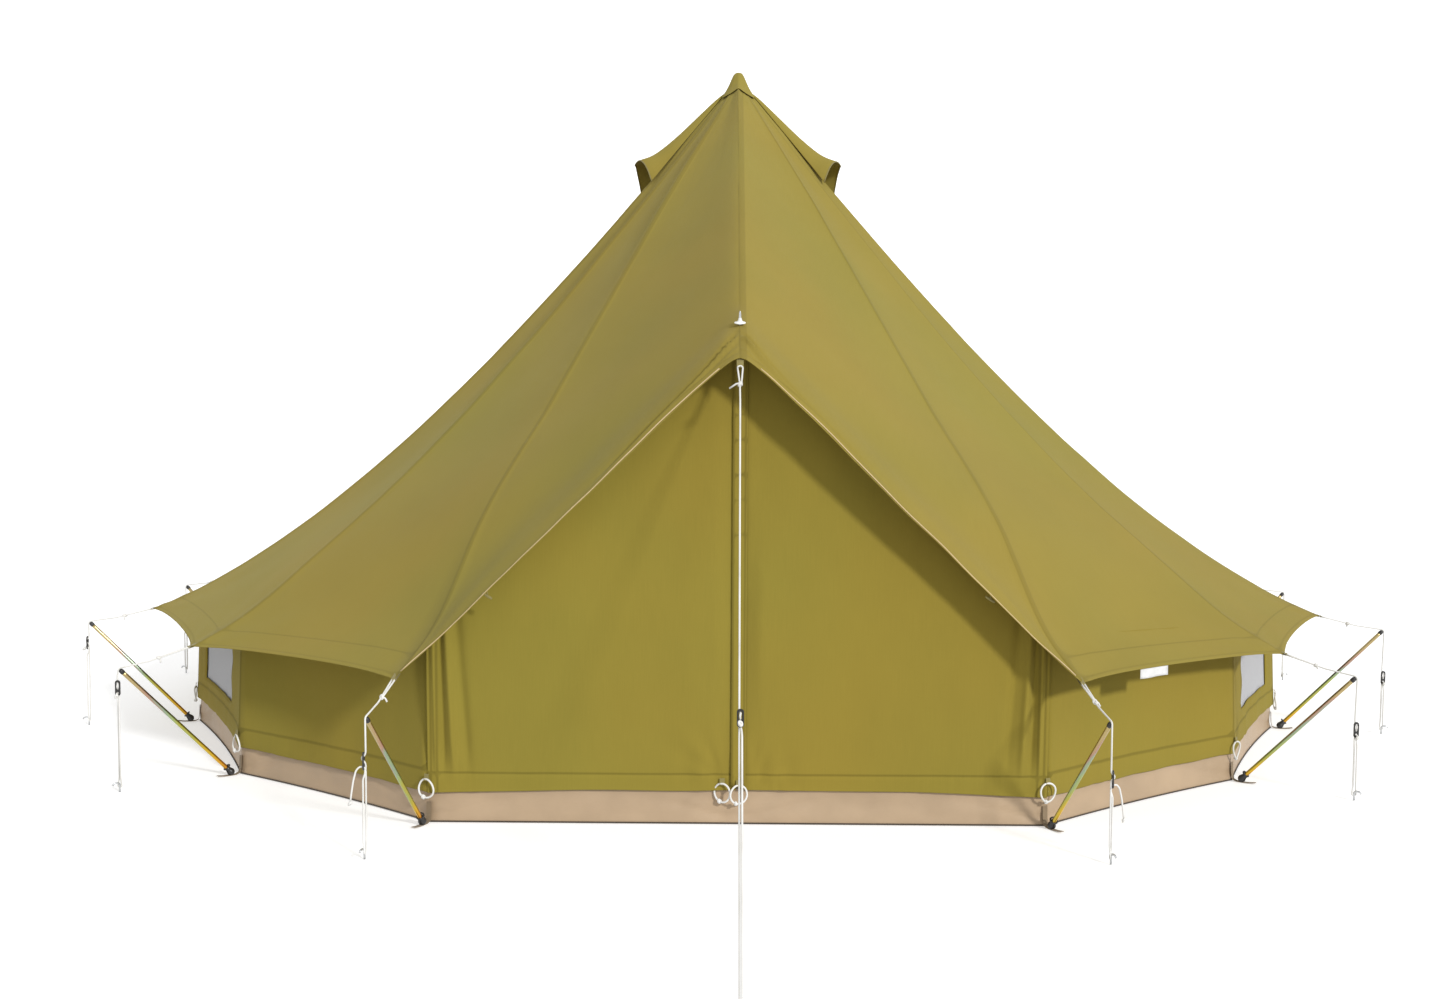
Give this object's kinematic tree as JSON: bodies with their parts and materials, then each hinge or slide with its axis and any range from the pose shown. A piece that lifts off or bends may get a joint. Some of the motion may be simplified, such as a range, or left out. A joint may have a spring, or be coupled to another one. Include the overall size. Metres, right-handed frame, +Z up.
{
  "type": "bell tent",
  "caption": "Round canvas bell tent with a pointed roof on a centre pole, low walls, a zipped triangular door and outrigger poles that hold its guy ropes.",
  "frame": {"origin": "on the ground under the apex, at the underside of the groundsheet", "axes": "+Z up, the door faces -Y, +X to the right of someone facing the door"},
  "size_m": [5.8312, 7.048, 2.9958],
  "materials": {
    "roof_cotton": "matt proofed cotton canvas",
    "wall_cotton": "matt proofed cotton canvas",
    "tub_fabric": "coated, slightly shiny",
    "window_mesh": "fine insect mesh",
    "zinc_steel": "yellow zinc plate, iridescent",
    "galvanised_steel": "satin",
    "guy_rope": "braided",
    "black_plastic": "moulded",
    "white_plastic": "moulded",
    "zip_metal": "satin"
  },
  "bodies": {
    "tent": {"groundsheet": "tub_fabric", "wall_canvas": "wall_cotton", "roof_canvas": "roof_cotton", "apex_cap": "roof_cotton", "vent_hood_left": "roof_cotton", "vent_hood_right": "roof_cotton", "door_surround": "wall_cotton", "window_mesh_left": "window_mesh", "window_mesh_right": "window_mesh", "centre_pole": "galvanised_steel", "centre_pole_foot": "black_plastic", "door_frame_leg_left": "galvanised_steel", "door_frame_leg_right": "galvanised_steel", "door_frame_top": "galvanised_steel", "spike_cap": "white_plastic", "front_guy_rope": "guy_rope", "front_peg": "galvanised_steel", "outrigger_pole_left_1": "zinc_steel", "outrigger_pole_left_2": "zinc_steel", "outrigger_pole_left_3": "zinc_steel", "outrigger_pole_left_4": "zinc_steel", "outrigger_pole_left_5": "zinc_steel", "outrigger_pole_left_6": "zinc_steel", "outrigger_pole_right_1": "zinc_steel", "outrigger_pole_right_2": "zinc_steel", "outrigger_pole_right_3": "zinc_steel", "outrigger_pole_right_4": "zinc_steel", "outrigger_pole_right_5": "zinc_steel", "outrigger_pole_right_6": "zinc_steel", "outrigger_pole_back": "zinc_steel", "guy_rope_left_1": "guy_rope", "guy_rope_left_2": "guy_rope", "guy_rope_left_3": "guy_rope", "guy_rope_left_4": "guy_rope", "guy_rope_left_5": "guy_rope", "guy_rope_left_6": "guy_rope", "guy_rope_right_1": "guy_rope", "guy_rope_right_2": "guy_rope", "guy_rope_right_3": "guy_rope", "guy_rope_right_4": "guy_rope", "guy_rope_right_5": "guy_rope", "guy_rope_right_6": "guy_rope", "guy_rope_back": "guy_rope"},
    "door_flap_left": {"door_left": "wall_cotton"},
    "door_flap_right": {"door_right": "wall_cotton"},
    "zip_slider": {"zip_slider": "zip_metal"},
    "runner_front": {"guy_runner_front": "black_plastic"},
    "runner_left_1": {"guy_runner_left_1": "black_plastic"},
    "runner_left_2": {"guy_runner_left_2": "black_plastic"},
    "runner_left_3": {"guy_runner_left_3": "black_plastic"},
    "runner_left_4": {"guy_runner_left_4": "black_plastic"},
    "runner_left_5": {"guy_runner_left_5": "black_plastic"},
    "runner_left_6": {"guy_runner_left_6": "black_plastic"},
    "runner_right_1": {"guy_runner_right_1": "black_plastic"},
    "runner_right_2": {"guy_runner_right_2": "black_plastic"},
    "runner_right_3": {"guy_runner_right_3": "black_plastic"},
    "runner_right_4": {"guy_runner_right_4": "black_plastic"},
    "runner_right_5": {"guy_runner_right_5": "black_plastic"},
    "runner_right_6": {"guy_runner_right_6": "black_plastic"},
    "runner_back": {"guy_runner_back": "black_plastic"}
  },
  "joints": [
    {"name": "door_left_swing", "type": "hinge", "parent": "tent", "child": "door_flap_left", "pos_m": [-0.03, -2.25042, 1.5], "axis": [-0.601, 0, -0.7992], "range_deg": [0, 95]},
    {"name": "door_right_swing", "type": "hinge", "parent": "tent", "child": "door_flap_right", "pos_m": [0.03, -2.25042, 1.5], "axis": [-0.601, 0, 0.7992], "range_deg": [0, 95]},
    {"name": "zip_run", "type": "slide", "parent": "door_flap_left", "child": "zip_slider", "axis": [0, 0, 1], "range_m": [0, 1.2]},
    {"name": "runner_front_slide", "type": "slide", "parent": "tent", "child": "runner_front", "axis": [0, 0.708, 0.7062], "range_m": [-0.55, 0.8]},
    {"name": "runner_left_1_slide", "type": "slide", "parent": "tent", "child": "runner_left_1", "axis": [0, 0, 1], "range_m": [-0.223, 0.077]},
    {"name": "runner_left_2_slide", "type": "slide", "parent": "tent", "child": "runner_left_2", "axis": [0, 0, 1], "range_m": [-0.295, 0.005]},
    {"name": "runner_left_3_slide", "type": "slide", "parent": "tent", "child": "runner_left_3", "axis": [0, 0, 1], "range_m": [-0.272, 0.028]},
    {"name": "runner_left_4_slide", "type": "slide", "parent": "tent", "child": "runner_left_4", "axis": [0, 0, 1], "range_m": [-0.173, 0.127]},
    {"name": "runner_left_5_slide", "type": "slide", "parent": "tent", "child": "runner_left_5", "axis": [0, 0, 1], "range_m": [-0.2, 0.1]},
    {"name": "runner_left_6_slide", "type": "slide", "parent": "tent", "child": "runner_left_6", "axis": [0, 0, 1], "range_m": [-0.22, 0.08]},
    {"name": "runner_right_1_slide", "type": "slide", "parent": "tent", "child": "runner_right_1", "axis": [0, 0, 1], "range_m": [-0.18, 0.12]},
    {"name": "runner_right_2_slide", "type": "slide", "parent": "tent", "child": "runner_right_2", "axis": [0, 0, 1], "range_m": [-0.168, 0.132]},
    {"name": "runner_right_3_slide", "type": "slide", "parent": "tent", "child": "runner_right_3", "axis": [0, 0, 1], "range_m": [-0.154, 0.146]},
    {"name": "runner_right_4_slide", "type": "slide", "parent": "tent", "child": "runner_right_4", "axis": [0, 0, 1], "range_m": [-0.19, 0.11]},
    {"name": "runner_right_5_slide", "type": "slide", "parent": "tent", "child": "runner_right_5", "axis": [0, 0, 1], "range_m": [-0.24, 0.06]},
    {"name": "runner_right_6_slide", "type": "slide", "parent": "tent", "child": "runner_right_6", "axis": [0, 0, 1], "range_m": [-0.21, 0.09]},
    {"name": "runner_back_slide", "type": "slide", "parent": "tent", "child": "runner_back", "axis": [0, 0, 1], "range_m": [-0.2, 0.1]}
  ]
}
